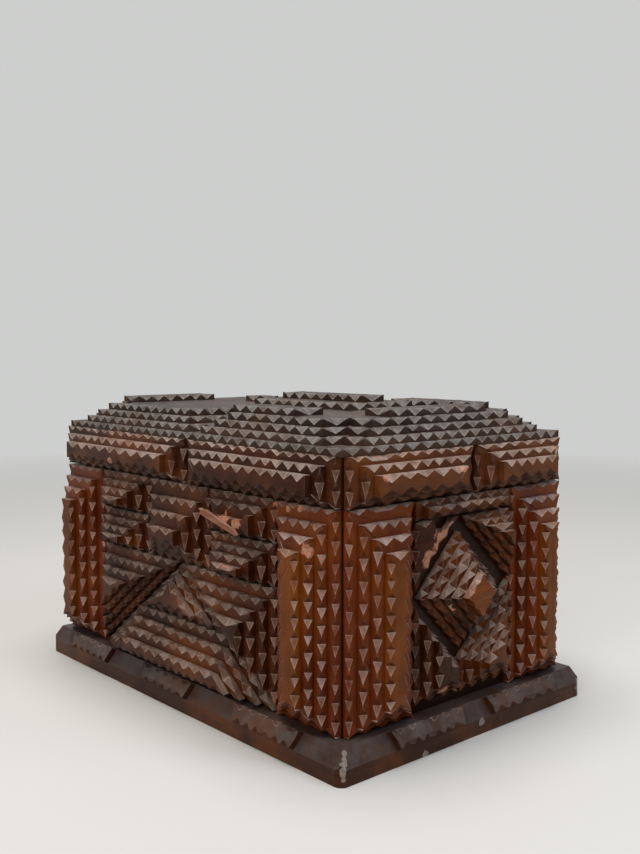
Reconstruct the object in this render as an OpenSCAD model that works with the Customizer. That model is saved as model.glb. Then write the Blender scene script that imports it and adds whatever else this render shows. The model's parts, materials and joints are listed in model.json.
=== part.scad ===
// Chip-carved wooden keepsake box with a hinged lid.
// Thin boards are glued up in stepped stacks, and each board has a row of V notches along its edges.
// The origin is on the table under the middle of the box, the front faces -Y and +Z is up.

/* [Box] */
// Width over the first carved layers, left to right
box_w = 244; // [230:1:262]
// Depth over the first carved layers, front to back
box_d = 158; // [150:1:170]
// Height of the box walls
box_h = 100; // [96:1:112]
// Thickness of the wall boards
wall_t = 6; // [5:0.5:8]
// Thickness of the bottom board inside the walls
floor_t = 5; // [3:0.5:8]

/* [Plinth] */
// Height of the plinth board
plinth_h = 15.5; // [14:0.5:20]
// Flat ledge round the foot of the box
plinth_ledge = 4; // [2:0.5:7]
// How far the bevel runs outward
bevel_out = 4.3; // [3.5:0.1:6]
// Height of the bevel
bevel_h = 8; // [7:0.5:9]
// Radius of the worn upright corners
plinth_r = 4; // [2:0.5:6]
// Thickness of the carved bars on the bevel
plinth_bar_t = 3.2; // [2.4:0.2:4]

/* [Carved layers] */
// Thickness of each applied board
layer_t = 3.6; // [3:0.1:4.2]
// Distance between two notches
notch_pitch = 7.8; // [6.5:0.1:10]
// Depth of a notch
notch_depth = 3; // [2:0.1:3.4]
// Plain edge left at a corner
notch_flat = 0.8; // [0.5:0.1:2]
// Gap between neighbouring stacks
piece_gap = 0.8; // [0.5:0.1:1.5]
// Width of a corner post's first layer
post_w = 40.5; // [39:0.5:43]
// Step inward of each further layer at a post's sides
post_step = 4.8; // [4.2:0.1:5]
// Step down of each further layer at a post's top
post_drop = 6.3; // [5:0.1:8]
// Step up of each further layer at a post's foot
post_rise = 3.6; // [2.5:0.1:5]
// Distance of a post from the corner of the first layers
post_gap = 4.3; // [4.3:0.1:5]

/* [Front and back panels] */
// Height at which the upper blocks start
band_z = 59; // [56:1:62]
// Width of the left pair of small blocks
block_a_w = 49; // [44:0.5:52]
// Width of the single tall block
block_b_w = 54.5; // [50:0.5:58]
// Step inward of each further layer at a block's sides
block_step = 5.2; // [4.4:0.1:5.6]
// Step up of each further layer at a small block's foot
block_rise = 1.4; // [1:0.1:1.8]
// Step down of each further layer at a small block's top
block_drop = 4; // [3.4:0.1:4.4]
// Step up of each further layer at the tall block's foot
tall_rise = 3.7; // [3:0.1:4.2]
// Step down of each further layer at the tall block's top
tall_drop = 7.5; // [6:0.1:8]
// Step of the large triangles at their top
wing_drop = 5.5; // [5:0.1:5.8]
// Step of the large triangles at their slanted edge
wing_step = 3.2; // [2.8:0.1:3.6]
// Height at which the low trapezoid ends and the small triangle starts
peak_z = 28.5; // [26:0.5:31]

/* [Side panels] */
// Height of the strip above the diamond
strip_h = 9; // [7:0.1:10]
// Half the length of the diamond's diagonals
diamond_r = 28; // [26:0.5:30]
// Step inward of each layer of the diamond
diamond_step = 3.1; // [2.8:0.1:3.6]
// Distance of the diamond from the middle of the side, toward the back
diamond_y = -2.5; // [-4:0.5:4]
// Height of the diamond's middle above the box's foot
diamond_z = 54.5; // [52:0.5:57]
// Distance of the corner stacks from the diamond's middle, along its diagonals
corner_r = 35; // [34:0.5:37]
// Step of the corner stacks at their slanted edge
slant_step = 2.3; // [2:0.1:2.6]
// Step of the upper corner stacks at their straight edges
corner_step = 3; // [2.6:0.1:3.2]
// Step of the lower corner stacks at the post
foot_step = 4.4; // [4:0.1:4.8]
// Height of the lower corner stacks' foot above the box's foot
foot_z = 5; // [4:0.5:6]

/* [Lid] */
// Gap between box and lid
lid_gap = 0.6; // [0.4:0.1:1]
// Height of the lid's rim
rim_h = 22.4; // [20:0.2:26]
// Thickness of the rails round the lid
rail_t = 6; // [5:0.5:8]
// Thickness of the lid's inner board
lid_board_t = 3.6; // [3:0.1:5]
// Step inward of each further bar of the rim at its ends
rim_step = 5.8; // [4.8:0.1:6.4]
// Step up of each further bar of the rim
rim_rise = 2.4; // [2:0.1:3]
// Step down of each further bar of the rim
rim_drop = 4.1; // [3.4:0.1:4.6]
// Distance of the cover board's edge from the first layers
cover_inset = 1.5; // [1:0.1:2.5]
// Step inward of each course on the lid
course_step = 4.2; // [3.4:0.1:4.6]
// Distance between two notches on the lid's courses
course_pitch = 9.6; // [8:0.1:11]
// Side of the square cut out of each outer corner of a course
corner_cut = 12.8; // [10:0.2:15]
// Width of the valley between the two halves of the first course
valley_w = 10; // [8:0.5:14]
// Distance of the valley from the middle, to the right
valley_x = 7; // [-10:0.5:10]
// Depth of the single bars along the lid's front and back
bar_d = 18; // [14:0.5:20]
// Width of the single bars along the lid's sides
bar_w = 17; // [14:0.5:20]
// Length of the board in the middle of the lid
centre_w = 80; // [70:1:90]
// Depth of the board in the middle of the lid
centre_d = 46; // [40:1:50]

/* [Hinges] */
// Distance of each hinge from the middle
hinge_x = 50; // [48:1:52]
// Length of a hinge
hinge_w = 30; // [26:1:30]
// Thickness of a hinge leaf
leaf_t = 0.8; // [0.7:0.1:1]
// Outer radius of the knuckles
knuckle_r = 2; // [1.8:0.1:2.2]
// Radius of the hinge pins
pin_r = 1; // [0.8:0.05:1.2]
// Radial clearance of a pin in its knuckles
pin_clear = 0.05; // [0.03:0.01:0.08]
// Radius of the screws' shanks
screw_r = 0.8; // [0.6:0.1:1]
// Length of the screws
screw_l = 7; // [5:0.5:10]

/* [Hidden] */
$fn = 48;
half_w = box_w / 2;
half_d = box_d / 2;
wall_w = box_w - 2 * layer_t;
wall_d = box_d - 2 * layer_t;
base_z = plinth_h;
rim_z = box_h + lid_gap;
cover_z = rim_z + rim_h;
plinth_out = plinth_ledge + bevel_out;
// Two first layers meet at the far corners, and one of them laps over the other's end
front_lap = 0.4;
side_lap = 2.4;
axis_y = half_d + knuckle_r + 0.3;
axis_z = base_z + box_h + lid_gap / 2;
leaf_gap = 0.1;
leaf_low = axis_z - leaf_gap / 2 - leaf_t;
leaf_high = axis_z + leaf_gap / 2;
leaf_inner_y = wall_d / 2 - wall_t + 1;
knuckles = 5;
knuckle_l = hinge_w / knuckles;
turn_clear = 0.2;
screw_clear = 0.05;
head_r = 2 * screw_r;
row_y = half_d - course_step;
row_x = half_w - course_step;
COLOUR_DARK = [0.30, 0.17, 0.11];
COLOUR_MID = [0.40, 0.23, 0.15];
COLOUR_LIGHT = [0.50, 0.32, 0.21];
COLOUR_TOP = [0.45, 0.37, 0.33];
COLOUR_PLINTH = [0.44, 0.33, 0.29];
COLOUR_BRASS = [0.60, 0.48, 0.25];

// A rectangle's corners, counter-clockwise from the lower left
function rect(x0, y0, x1, y1) = [[x0, y0], [x1, y0], [x1, y1], [x0, y1]];
function cross2(a, b) = a[0] * b[1] - a[1] * b[0];
function unit(v) = v / norm(v);
function inward(e) = [-e[1], e[0]];

// A convex outline with each edge moved inward by its own distance
function inset(p, d) = let (n = len(p)) [
    for (i = [0:n - 1])
        let (
            h = (i + n - 1) % n,
            a = unit(p[i] - p[h]),
            b = unit(p[(i + 1) % n] - p[i]),
            from = p[i] + inward(a) * d[h],
            to = p[i] + inward(b) * d[i]
        )
        from + a * cross2(to - from, b) / cross2(a, b)
];

// The outline's narrowest width, and the radius that fits in it, limit how deep a notch may go
function width_from(p, i) = let (e = unit(p[(i + 1) % len(p)] - p[i]))
    max([for (q = p) cross2(e, q - p[i])]);
function breadth(p) = min([for (i = [0:len(p) - 1]) width_from(p, i)]);
function total(v, i = 0) = i < len(v) ? v[i] + total(v, i + 1) : 0;
function area2(p) = total([for (i = [0:len(p) - 1]) cross2(p[i], p[(i + 1) % len(p)])]);
function girth(p) = total([for (i = [0:len(p) - 1]) norm(p[(i + 1) % len(p)] - p[i])]);
function safe_depth(p) = min(notch_depth, 0.36 * breadth(p), 0.6 * area2(p) / girth(p));

// Plain edge kept beside a corner, longer where the corner is sharp
function corner_angle(a, b, c) = acos(unit(a - b) * unit(c - b));
function plain_end(a, b, c, deep) =
    max(notch_flat, 1.15 * deep / tan(corner_angle(a, b, c) / 2) - notch_pitch / 2);

// One edge of an outline with its row of V notches
function notched_edge(a, b, start, end, deep, spacing) =
    let (
        e = unit(b - a),
        run = norm(b - a) - start - end,
        count = floor(run / spacing),
        pitch = run / max(count, 1)
    )
    count < 1 ? [a] : [
        a,
        a + e * start,
        for (k = [1:count]) each [
            a + e * (start + (k - 0.5) * pitch) + inward(e) * deep,
            a + e * (start + k * pitch)
        ]
    ];
function notched(p, spacing = notch_pitch) = let (n = len(p), deep = safe_depth(p)) [
    for (i = [0:n - 1])
        let (h = p[(i + n - 1) % n], a = p[i], b = p[(i + 1) % n], c = p[(i + 2) % n])
        each notched_edge(a, b, plain_end(h, a, b, deep), plain_end(a, b, c, deep), deep, spacing)
];

// A stack is its first outline, the step of each edge, and how many layers it has
function stack(outline, steps, count) = [outline, steps, count];
function post(x0, right = post_step, left = post_step) =
    stack(rect(x0, 0.5, x0 + post_w, box_h), [post_rise, right, post_drop, left], 4);
function block(x0, z0, x1, z1, rise = block_rise, drop = block_drop) =
    stack(rect(x0, z0, x1, z1), [rise, block_step, drop, block_step], 4);

// Panel between the posts: five blocks above, then two right triangles, a small peak and a trapezoid
function panel(x0, x1) =
    let (
        a1 = x0 + block_a_w,
        b0 = a1 + piece_gap,
        b1 = b0 + block_b_w,
        c0 = b1 + piece_gap,
        mid_z = (band_z + box_h) / 2,
        peak = (x0 + x1) / 2,
        low = 1,
        top_z = band_z - piece_gap,
        slant = (x1 - x0) / 2 / (top_z - low),
        reach = 2.2 * piece_gap
    )
    [
        block(x0, band_z, a1, mid_z - piece_gap / 2),
        block(x0, mid_z + piece_gap / 2, a1, box_h),
        block(b0, band_z, b1, box_h, tall_rise, tall_drop),
        block(c0, band_z, x1, mid_z - piece_gap / 2),
        block(c0, mid_z + piece_gap / 2, x1, box_h),
        stack([[x0, top_z], [x0, low + reach], [peak - reach, top_z]], [post_step, wing_step, wing_drop], 4),
        stack([[x1, top_z], [peak + reach, top_z], [x1, low + reach]], [wing_drop, wing_step, post_step], 4),
        stack([
            [peak - slant * (top_z - peak_z) + reach, peak_z + piece_gap / 2],
            [peak + slant * (top_z - peak_z) - reach, peak_z + piece_gap / 2],
            [peak, top_z - reach / 2]
        ], [3, 3.4, 3.4], 3),
        stack([
            [x0 + reach, low],
            [x1 - reach, low],
            [peak + slant * (top_z - peak_z) + reach / 2, peak_z - piece_gap / 2],
            [peak - slant * (top_z - peak_z) - reach / 2, peak_z - piece_gap / 2]
        ], [1.2, 4, 5.4, 4], 4)
    ];

// The long faces: two posts with the panel between them, the left post stepped unevenly
function long_face(left, right) = concat(
    [post(left, 1.33 * post_step, 0.71 * post_step), post(right - post_w)],
    panel(left + post_w + piece_gap, right - post_w - piece_gap)
);

// The short faces: two posts, a diamond between four corner stacks, and a strip above
function short_face(near, far) =
    let (
        x0 = near + post_w + piece_gap,
        x1 = far - post_w - piece_gap,
        top = box_h - strip_h - piece_gap,
        mx = diamond_y,
        mz = diamond_z,
        r = diamond_r,
        g = piece_gap,
        // How far the slanted edges end from the diamond's middle, along the posts
        near_z = max(g, corner_r - (mx - x0)),
        far_z = max(g, corner_r - (x1 - mx)),
        valley = mz - corner_r + g,
        slant = slant_step,
        edge = corner_step
    )
    [
        post(near),
        post(far - post_w),
        stack(rect(x0, box_h - strip_h, x1, box_h), [1, post_step, 3, post_step], 2),
        stack([[mx, mz - r], [mx + r, mz], [mx, mz + r], [mx - r, mz]], [for (i = [1:4]) diamond_step], 5),
        stack([[x0, top], [x0, mz + near_z], [mx - g, top]], [edge, slant, edge], 3),
        stack([[x1, top], [mx + g, top], [x1, mz + far_z]], [edge, slant, edge], 4),
        stack([[x0, foot_z], [mx - g, foot_z], [mx - g, valley], [x0, mz - near_z]],
            [post_rise, edge, slant, foot_step], 3),
        stack([[mx + g, foot_z], [x1, foot_z], [x1, mz - far_z], [mx + g, valley]],
            [post_rise, foot_step, slant, edge], 4)
    ];

// Bars round the lid's rim, two on each side
function rim_bar(x0, x1, count) =
    stack(rect(x0, rim_z, x1, cover_z), [rim_rise, rim_step, rim_drop, rim_step], count);
function rim_bars(left, right, split, count) =
    [rim_bar(left, split - 1.6, count), rim_bar(split + 1.6, right, count)];

// Draws one layer of a face's stacks on the face that looks toward -Y, turned round the box
module face_layer(stacks, k, turn, reach) {
    rotate([0, 0, turn])
        translate([0, layer_t - reach - (k - 1) * layer_t, base_z])
            rotate([90, 0, 0])
                for (s = stacks)
                    if (k <= s[2])
                        linear_extrude(layer_t)
                            polygon(notched(inset(s[0], s[1] * (k - 1))));
}

module front_layer(k) {
    color(k % 2 == 1 ? COLOUR_MID : COLOUR_LIGHT)
        face_layer(long_face(-half_w + front_lap, half_w - post_gap), k, 0, half_d);
}

module back_layer(k) {
    color(k % 2 == 1 ? COLOUR_MID : COLOUR_LIGHT)
        difference() {
            mirror([0, 1, 0])
                face_layer(long_face(-half_w + post_gap, half_w - post_gap), k, 0, half_d);
            if (k == 1) mortises(0);
        }
}

module right_layer(k) {
    color(k % 2 == 1 ? COLOUR_MID : COLOUR_LIGHT)
        face_layer(short_face(-half_d + post_gap, half_d - side_lap), k, 90, half_w);
}

module left_layer(k) {
    mirror([1, 0, 0]) right_layer(k);
}

module rim_front(k) {
    color(k % 2 == 1 ? COLOUR_LIGHT : COLOUR_MID)
        face_layer(rim_bars(-half_w + front_lap, half_w - post_gap, 4, 3), k, 0, half_d);
}

module rim_back(k) {
    color(k % 2 == 1 ? COLOUR_LIGHT : COLOUR_MID)
        difference() {
            mirror([0, 1, 0])
                face_layer(rim_bars(-half_w + post_gap, half_w - post_gap, 4, 3), k, 0, half_d);
            if (k == 1) mortises(0);
        }
}

// Shallow recesses that let the hinge leaves into the edges of box and lid
module mortises(clear) {
    for (x = [-hinge_x, hinge_x])
        translate([x - hinge_w / 2 - clear, leaf_inner_y - clear, leaf_low])
            cube([hinge_w + 2 * clear, 2 * half_d, leaf_high + leaf_t - leaf_low]);
}

module rim_right(k) {
    color(k % 2 == 1 ? COLOUR_LIGHT : COLOUR_MID)
        face_layer(rim_bars(-half_d + post_gap, half_d - side_lap, 8, 3), k, 90, half_w);
}

module rim_left(k) {
    mirror([1, 0, 0]) rim_right(k);
}

// A board lying flat, with its lower face at z above the box's foot
module flat_board(outline, z, thick) {
    translate([0, 0, base_z + z])
        linear_extrude(thick)
            polygon(outline);
}

// The plinth: four mitred mouldings round a core board
inner_w = wall_w / 2 - wall_t;
inner_d = wall_d / 2 - wall_t;

// Moulding on the side that looks toward -Y: bevel and ledge above an upright edge, cut at 45 degrees
module moulding(half_run, half, inner) {
    out = half + plinth_out;
    end = half_run + plinth_out;
    width = out - inner;
    r = plinth_r;
    profile = [
        [-out, 0], [-inner, 0], [-inner, plinth_h],
        [-half - plinth_ledge, plinth_h], [-out, plinth_h - bevel_h]
    ];
    // The corner is rounded up to the mitre, and the other moulding carries the rest of the round
    round_end = [for (a = [0:5:45]) [end - r + r * sin(a), -out + r - r * cos(a)]];
    mitred = concat(
        round_end,
        [[end - width, -inner], [-end + width, -inner]],
        [for (i = [len(round_end) - 1:-1:0]) [-round_end[i][0], round_end[i][1]]]
    );
    intersection() {
        translate([-end, 0, 0]) rotate([90, 0, 90]) linear_extrude(2 * end) polygon(profile);
        linear_extrude(plinth_h) polygon(mitred);
    }
}

module plinth_front() {
    color(COLOUR_PLINTH) moulding(half_w, half_d, inner_d);
}

module plinth_back() {
    mirror([0, 1, 0]) plinth_front();
}

module plinth_right() {
    color(COLOUR_PLINTH) rotate([0, 0, 90]) moulding(half_d, half_w, inner_w);
}

module plinth_left() {
    mirror([1, 0, 0]) plinth_right();
}

module plinth_core() {
    color(COLOUR_LIGHT)
        translate([-inner_w, -inner_d, 0]) cube([2 * inner_w, 2 * inner_d, plinth_h]);
}

// Carved bars lie on the bevel, each given by its middle and length along a side
front_bars = [[-83, 44], [-5, 45], [78, 48]];
side_bars = [[-32, 48], [37, 54]];
module bevel_bars(bars, half) {
    slope = norm([bevel_out, bevel_h]);
    edge = 0.3;
    for (b = bars)
        translate([b[0], -half - plinth_out, plinth_h - bevel_h])
            rotate([atan2(bevel_h, bevel_out), 0, 0])
                linear_extrude(plinth_bar_t)
                    polygon(notched(rect(-b[1] / 2, edge, b[1] / 2, slope - edge)));
}

module plinth_bars() {
    color(COLOUR_DARK) {
        bevel_bars(front_bars, half_d);
        mirror([0, 1, 0]) bevel_bars(front_bars, half_d);
        rotate([0, 0, 90]) bevel_bars(side_bars, half_w);
        mirror([1, 0, 0]) rotate([0, 0, 90]) bevel_bars(side_bars, half_w);
    }
}

module bottom_board() {
    color(COLOUR_LIGHT) flat_board(rect(-inner_w, -inner_d, inner_w, inner_d), 0, floor_t);
}

// Front and back boards run the full width, and the side boards stand between them
module long_wall(z, h, thick) {
    translate([-wall_w / 2, -wall_d / 2, base_z + z]) cube([wall_w, thick, h]);
}

module short_wall(z, h, thick, between) {
    translate([wall_w / 2 - thick, -wall_d / 2 + between, base_z + z])
        cube([thick, wall_d - 2 * between, h]);
}

module wall_front() {
    color(COLOUR_DARK) long_wall(0, box_h, wall_t);
}

module wall_back() {
    color(COLOUR_DARK)
        difference() {
            mirror([0, 1, 0]) long_wall(0, box_h, wall_t);
            mortises(0);
            screw_places()
                translate([0, 0, leaf_low - screw_l])
                    cylinder(r = screw_r + screw_clear, h = screw_l + 1);
        }
}

module wall_right() {
    color(COLOUR_DARK) short_wall(0, box_h, wall_t, wall_t);
}

module wall_left() {
    mirror([1, 0, 0]) wall_right();
}

// The lid: rails under a board, then the carved cover and its courses
module lid_rail_front() {
    color(COLOUR_DARK) long_wall(rim_z, rim_h - lid_board_t, rail_t);
}

module lid_rail_back() {
    color(COLOUR_DARK)
        difference() {
            mirror([0, 1, 0]) long_wall(rim_z, rim_h - lid_board_t, rail_t);
            mortises(0);
            screw_places()
                translate([0, 0, leaf_high + leaf_t - 1])
                    cylinder(r = screw_r + screw_clear, h = screw_l + 1);
        }
}

module lid_rail_right() {
    color(COLOUR_DARK) short_wall(rim_z, rim_h - lid_board_t, rail_t, rail_t);
}

module lid_rail_left() {
    mirror([1, 0, 0]) lid_rail_right();
}

module lid_board() {
    color(COLOUR_DARK)
        flat_board(rect(-wall_w / 2, -wall_d / 2, wall_w / 2, wall_d / 2), cover_z - lid_board_t, lid_board_t);
}

module lid_cover() {
    w = half_w - cover_inset;
    d = half_d - cover_inset;
    color(COLOUR_TOP) flat_board(notched(rect(-w, -d, w, d)), cover_z, layer_t);
}

// Half of a course, from the valley at x0 to the lid's side at x1, with its outer corners cut out
function half_course(x0, x1) = [
    [x0, -row_y],
    [x1 - corner_cut, -row_y],
    [x1 - corner_cut, -row_y + corner_cut],
    [x1, -row_y + corner_cut],
    [x1, row_y - corner_cut],
    [x1 - corner_cut, row_y - corner_cut],
    [x1 - corner_cut, row_y],
    [x0, row_y]
];
valley_step = 6;
cut_step_x = 5;
cut_step_y = 6.6;
course_steps = [course_step, cut_step_x, cut_step_y, course_step, cut_step_y, cut_step_x, course_step, valley_step];

module course_board(outline, n) {
    color(COLOUR_TOP) flat_board(notched(outline, course_pitch), cover_z + n * layer_t, layer_t);
}

module lid_right(n) {
    course_board(inset(half_course(valley_x + valley_w / 2, row_x), course_steps * (n - 1)), n);
}

module lid_left(n) {
    mirror([1, 0, 0])
        course_board(inset(half_course(valley_w / 2 - valley_x, row_x), course_steps * (n - 1)), n);
}

// Single bars along the edges of the third course, each given by its middle and length, and one short block
top_bars_front = [[47, 48]];
top_bars_back = [[58, 56]];
top_bars_left = [[-22.5, 55]];
top_bars_right = [[1.5, 69]];
top_block = rect(-59, 8, -45, 22);
module lid_top_bars() {
    x = row_x - 3 * course_step;
    y = row_y - 3 * course_step;
    for (b = top_bars_front) course_board(rect(b[0] - b[1] / 2, -y, b[0] + b[1] / 2, -y + bar_d), 4);
    for (b = top_bars_back) course_board(rect(b[0] - b[1] / 2, y - bar_d, b[0] + b[1] / 2, y), 4);
    for (b = top_bars_left) course_board(rect(-x, b[0] - b[1] / 2, -x + bar_w, b[0] + b[1] / 2), 4);
    for (b = top_bars_right) course_board(rect(x - bar_w, b[0] - b[1] / 2, x, b[0] + b[1] / 2), 4);
    course_board(top_block, 4);
}

// A board bridges the valley in the middle of the lid, with one bar on it
centre_at = [16, 11];
centre_bar = rect(-16, 2, 50, 18);
module lid_centre() {
    w = centre_w / 2;
    d = centre_d / 2;
    course_board(rect(centre_at[0] - w, centre_at[1] - d, centre_at[0] + w, centre_at[1] + d), 4);
}

module lid_centre_bar() {
    course_board(centre_bar, 5);
}

// Places of the hinge screws, three in each leaf
module screw_places() {
    for (x = [-hinge_x, hinge_x], k = [-1, 0, 1])
        translate([x + k * (hinge_w / 2 - 4), wall_d / 2 - wall_t / 2, 0]) children();
}

module knuckle_run(r, which, grow) {
    for (x = [-hinge_x, hinge_x], k = which)
        translate([x - hinge_w / 2 + k * knuckle_l - grow, axis_y, axis_z])
            rotate([0, 90, 0]) cylinder(r = r, h = knuckle_l + 2 * grow);
}

// A leaf lies flat in its recess, with every other knuckle on its edge
module leaf(z, own, other, bore_r, cone_low, cone_high) {
    difference() {
        union() {
            for (x = [-hinge_x, hinge_x])
                translate([x - hinge_w / 2, leaf_inner_y, z])
                    cube([hinge_w, axis_y - leaf_inner_y, leaf_t]);
            knuckle_run(knuckle_r, own, -turn_clear / 4);
        }
        knuckle_run(knuckle_r + turn_clear, other, turn_clear / 4);
        knuckle_run(bore_r, [0:knuckles - 1], 1);
        screw_places() translate([0, 0, z]) cylinder(r1 = cone_low, r2 = cone_high, h = leaf_t);
    }
}

// The pins sit tight in the box's knuckles and run free in the lid's
module hinge_leaf_box() {
    color(COLOUR_BRASS) leaf(leaf_low, [0, 2, 4], [1, 3], pin_r, screw_r + screw_clear, head_r + screw_clear);
}

module hinge_leaf_lid() {
    color(COLOUR_BRASS)
        leaf(leaf_high, [1, 3], [0, 2, 4], pin_r + pin_clear, head_r + screw_clear, screw_r + screw_clear);
}

module hinge_pins() {
    head_l = 0.8;
    color(COLOUR_BRASS)
        for (x = [-hinge_x, hinge_x])
            translate([x - hinge_w / 2 - head_l, axis_y, axis_z])
                rotate([0, 90, 0])
                    union() {
                        cylinder(r = pin_r, h = hinge_w + 2 * head_l);
                        cylinder(r = pin_r * 1.5, h = head_l);
                        translate([0, 0, hinge_w + head_l]) cylinder(r = pin_r * 1.5, h = head_l);
                    }
}

module hinge_screws_box() {
    color(COLOUR_BRASS)
        screw_places()
            translate([0, 0, leaf_low]) {
                cylinder(r1 = screw_r, r2 = head_r, h = leaf_t);
                translate([0, 0, 0.5 - screw_l]) cylinder(r = screw_r, h = screw_l - 0.5);
            }
}

module hinge_screws_lid() {
    color(COLOUR_BRASS)
        screw_places()
            translate([0, 0, leaf_high]) {
                cylinder(r1 = head_r, r2 = screw_r, h = leaf_t);
                translate([0, 0, leaf_t]) cylinder(r = screw_r, h = screw_l - 0.5);
            }
}

plinth_core();
plinth_front();
plinth_back();
plinth_left();
plinth_right();
plinth_bars();
bottom_board();
wall_front();
wall_back();
wall_left();
wall_right();
front_layer(1);  // front_layer_1
front_layer(2);  // front_layer_2
front_layer(3);  // front_layer_3
front_layer(4);  // front_layer_4
back_layer(1);  // back_layer_1
back_layer(2);  // back_layer_2
back_layer(3);  // back_layer_3
back_layer(4);  // back_layer_4
left_layer(1);  // left_layer_1
left_layer(2);  // left_layer_2
left_layer(3);  // left_layer_3
left_layer(4);  // left_layer_4
left_layer(5);  // left_layer_5
right_layer(1);  // right_layer_1
right_layer(2);  // right_layer_2
right_layer(3);  // right_layer_3
right_layer(4);  // right_layer_4
right_layer(5);  // right_layer_5
lid_rail_front();
lid_rail_back();
lid_rail_left();
lid_rail_right();
lid_board();
lid_cover();
rim_front(1);  // rim_front_1
rim_front(2);  // rim_front_2
rim_front(3);  // rim_front_3
rim_back(1);  // rim_back_1
rim_back(2);  // rim_back_2
rim_back(3);  // rim_back_3
rim_left(1);  // rim_left_1
rim_left(2);  // rim_left_2
rim_left(3);  // rim_left_3
rim_right(1);  // rim_right_1
rim_right(2);  // rim_right_2
rim_right(3);  // rim_right_3
lid_left(1);  // lid_left_1
lid_left(2);  // lid_left_2
lid_left(3);  // lid_left_3
lid_right(1);  // lid_right_1
lid_right(2);  // lid_right_2
lid_right(3);  // lid_right_3
lid_top_bars();
lid_centre();
lid_centre_bar();
hinge_leaf_box();
hinge_leaf_lid();
hinge_pins();
hinge_screws_box();
hinge_screws_lid();
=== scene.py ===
"""Chip-carved wooden box with a hinged lid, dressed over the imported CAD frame.

Every carved board of the model is rebuilt here with knife-cut chips: each chip takes a small
tetrahedron off the board's front edge, so that a row of pyramids is left between them.
Lengths inside the builders are millimetres and become metres when a mesh is written.
"""

import json
import logging
import math
import random
from dataclasses import dataclass, replace
from enum import Enum
from functools import partial, reduce
from typing import Callable, NamedTuple, Optional, Sequence, Union

import bmesh
import bpy
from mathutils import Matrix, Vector

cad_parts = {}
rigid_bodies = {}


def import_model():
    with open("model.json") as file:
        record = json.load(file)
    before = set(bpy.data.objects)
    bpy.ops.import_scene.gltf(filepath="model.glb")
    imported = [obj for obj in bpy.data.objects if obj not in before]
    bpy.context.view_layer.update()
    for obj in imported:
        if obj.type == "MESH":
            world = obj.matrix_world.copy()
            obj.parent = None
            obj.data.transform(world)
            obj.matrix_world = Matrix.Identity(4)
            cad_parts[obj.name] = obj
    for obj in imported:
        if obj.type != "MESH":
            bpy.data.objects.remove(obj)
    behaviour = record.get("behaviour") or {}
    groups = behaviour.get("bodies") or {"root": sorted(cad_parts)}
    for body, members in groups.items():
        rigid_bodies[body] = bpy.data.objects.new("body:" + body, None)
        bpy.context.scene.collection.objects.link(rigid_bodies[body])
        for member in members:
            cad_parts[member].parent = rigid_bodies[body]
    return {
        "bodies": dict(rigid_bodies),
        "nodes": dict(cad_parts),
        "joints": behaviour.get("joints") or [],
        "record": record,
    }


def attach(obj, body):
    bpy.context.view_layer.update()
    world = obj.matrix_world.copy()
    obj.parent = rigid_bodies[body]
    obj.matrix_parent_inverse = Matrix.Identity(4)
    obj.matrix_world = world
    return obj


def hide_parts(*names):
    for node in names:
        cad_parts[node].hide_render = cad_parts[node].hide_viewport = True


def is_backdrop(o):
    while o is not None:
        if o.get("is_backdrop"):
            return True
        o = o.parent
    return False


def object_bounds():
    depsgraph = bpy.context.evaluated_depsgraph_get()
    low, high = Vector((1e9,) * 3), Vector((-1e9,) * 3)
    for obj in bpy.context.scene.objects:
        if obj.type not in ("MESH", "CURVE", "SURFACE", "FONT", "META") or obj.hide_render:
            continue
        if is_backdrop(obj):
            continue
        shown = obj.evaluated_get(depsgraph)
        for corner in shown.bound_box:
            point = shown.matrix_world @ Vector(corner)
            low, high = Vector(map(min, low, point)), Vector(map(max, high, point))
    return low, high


LOG = logging.getLogger("carved_box")
MM = 0.001
MM_PER_M = 1000.0
SEEDS_PER_FACE = 100
Point2 = tuple[float, float]
Point3 = tuple[float, float, float]
Colour = tuple[float, float, float]
Range = tuple[float, float]
Mask = tuple[float, ...]
Outline = list[Point2]
Mapper = Callable[[float, float, float], Vector]
Material = bpy.types.Material
Socket = bpy.types.NodeSocket
Value = Union[Socket, float, Colour]
Inputs = dict[Union[int, str], Value]


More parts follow.
